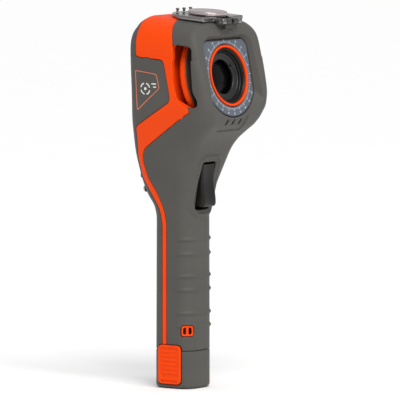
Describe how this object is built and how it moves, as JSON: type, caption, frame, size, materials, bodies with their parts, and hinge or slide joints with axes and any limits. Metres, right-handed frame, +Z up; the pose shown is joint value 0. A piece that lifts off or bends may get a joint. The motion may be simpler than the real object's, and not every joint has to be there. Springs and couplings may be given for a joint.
{
  "type": "thermal imaging camera",
  "caption": "Handheld thermal imaging camera with a vertical grip handle, trigger, side focus wheel, flip-up lens cover, rear display and slide-out battery.",
  "frame": {"origin": "centre of the flat underside of the battery, on the handle axis", "axes": "+Z up along the handle, -Y towards the lens, +X to the left hand of a person looking into the lens"},
  "size_m": [0.086, 0.0793, 0.2813],
  "materials": {
    "grey_shell": "fine moulded texture, warm mid grey",
    "orange_shell": "satin vivid orange",
    "dial_panel": null,
    "black_plastic": "satin black",
    "key_rubber": "soft-touch keys",
    "label_plate": "grey plate with a thin orange outline",
    "lens_coating": "dark germanium lens, coated",
    "display_glass": "black display window",
    "module_black": "black electronic module",
    "circuit_board": "green solder mask",
    "battery_case": "dark wrap over metal-cased cells, whose mean density is about that of aluminium",
    "steel": "machined steel",
    "cover_chrome": "bright polished light-alloy cover",
    "cover_steel": "turned pale light-alloy disc",
    "stud_dark": "dark plated studs"
  },
  "bodies": {
    "housing": {"front_housing": "grey_shell", "rear_housing": "grey_shell", "front_bumper": "grey_shell", "hinge_block": "grey_shell", "label_left": "label_plate", "label_right": "label_plate", "mid_frame": "orange_shell", "lanyard_eye": "orange_shell", "lens_panel": "dial_panel", "lens_barrel": "black_plastic", "lens_retainer": "black_plastic", "germanium_lens": "lens_coating", "shutter_module": "steel", "detector_module": "module_black", "display_window": "display_glass", "display_module": "module_black", "main_board": "circuit_board", "keypad_board": "circuit_board", "speaker": "black_plastic", "hinge_pin_left": "steel", "hinge_pin_right": "steel", "laser_module": "module_black", "trigger_pin": "steel", "trigger_switch": "module_black", "trigger_spring": "steel", "battery_contacts": "black_plastic", "housing_screw_1": "steel", "housing_screw_2": "steel", "housing_screw_3": "steel"},
    "focus": {"focus_wheel": "orange_shell", "focus_trim_ring": "orange_shell"},
    "cover": {"lens_cover": "cover_chrome", "cover_pad": "cover_steel", "cover_stud_1": "stud_dark", "cover_stud_2": "stud_dark", "cover_stud_3": "stud_dark"},
    "trigger": {"trigger": "black_plastic"},
    "battery": {"battery_base": "grey_shell", "battery_pack": "battery_case"},
    "latch_right": {"latch_right": "orange_shell"},
    "latch_left": {"latch_left": "orange_shell"},
    "key_up": {"key_up": "key_rubber"},
    "key_down": {"key_down": "key_rubber"},
    "key_left": {"key_left": "key_rubber"},
    "key_right": {"key_right": "key_rubber"},
    "key_ok": {"key_ok": "orange_shell"},
    "key_menu": {"key_menu": "key_rubber"},
    "key_back": {"key_back": "key_rubber"},
    "key_power": {"key_power": "key_rubber"}
  },
  "joints": [
    {"name": "focus_turn", "type": "hinge", "parent": "housing", "child": "focus", "pos_m": [0, -0.04365, 0.2329], "axis": [0, -0.9816, 0.1908], "range_deg": [-45, 45]},
    {"name": "cover_flip", "type": "hinge", "parent": "housing", "child": "cover", "pos_m": [0, -0.0436, 0.2726], "axis": [1, 0, 0], "range_deg": [0, 255]},
    {"name": "trigger_pull", "type": "hinge", "parent": "housing", "child": "trigger", "pos_m": [0, -0.0165, 0.1635], "axis": [1, 0, 0], "range_deg": [0, 6], "stiffness_Nm_per_rad": 0.5, "springref_deg": -2.86},
    {"name": "battery_slide", "type": "slide", "parent": "housing", "child": "battery", "axis": [0, 0, -1], "range_m": [0, 0.075]},
    {"name": "latch_right_press", "type": "slide", "parent": "battery", "child": "latch_right", "axis": [1, 0, 0], "range_m": [0, 0.0012], "stiffness_N_per_m": 1500, "springref_m": -0.0005},
    {"name": "latch_left_press", "type": "slide", "parent": "battery", "child": "latch_left", "axis": [-1, 0, 0], "range_m": [0, 0.0012], "stiffness_N_per_m": 1500, "springref_m": -0.0005},
    {"name": "key_up_press", "type": "slide", "parent": "housing", "child": "key_up", "axis": [0, -1, 0], "range_m": [0, 0.001], "stiffness_N_per_m": 800, "springref_m": -0.0005},
    {"name": "key_down_press", "type": "slide", "parent": "housing", "child": "key_down", "axis": [0, -1, 0], "range_m": [0, 0.001], "stiffness_N_per_m": 800, "springref_m": -0.0005},
    {"name": "key_left_press", "type": "slide", "parent": "housing", "child": "key_left", "axis": [0, -1, 0], "range_m": [0, 0.001], "stiffness_N_per_m": 800, "springref_m": -0.0005},
    {"name": "key_right_press", "type": "slide", "parent": "housing", "child": "key_right", "axis": [0, -1, 0], "range_m": [0, 0.001], "stiffness_N_per_m": 800, "springref_m": -0.0005},
    {"name": "key_ok_press", "type": "slide", "parent": "housing", "child": "key_ok", "axis": [0, -1, 0], "range_m": [0, 0.001], "stiffness_N_per_m": 800, "springref_m": -0.0005},
    {"name": "key_menu_press", "type": "slide", "parent": "housing", "child": "key_menu", "axis": [0, -1, 0], "range_m": [0, 0.001], "stiffness_N_per_m": 800, "springref_m": -0.0005},
    {"name": "key_back_press", "type": "slide", "parent": "housing", "child": "key_back", "axis": [0, -1, 0], "range_m": [0, 0.001], "stiffness_N_per_m": 800, "springref_m": -0.0005},
    {"name": "key_power_press", "type": "slide", "parent": "housing", "child": "key_power", "axis": [0, -1, 0], "range_m": [0, 0.001], "stiffness_N_per_m": 800, "springref_m": -0.0005}
  ]
}
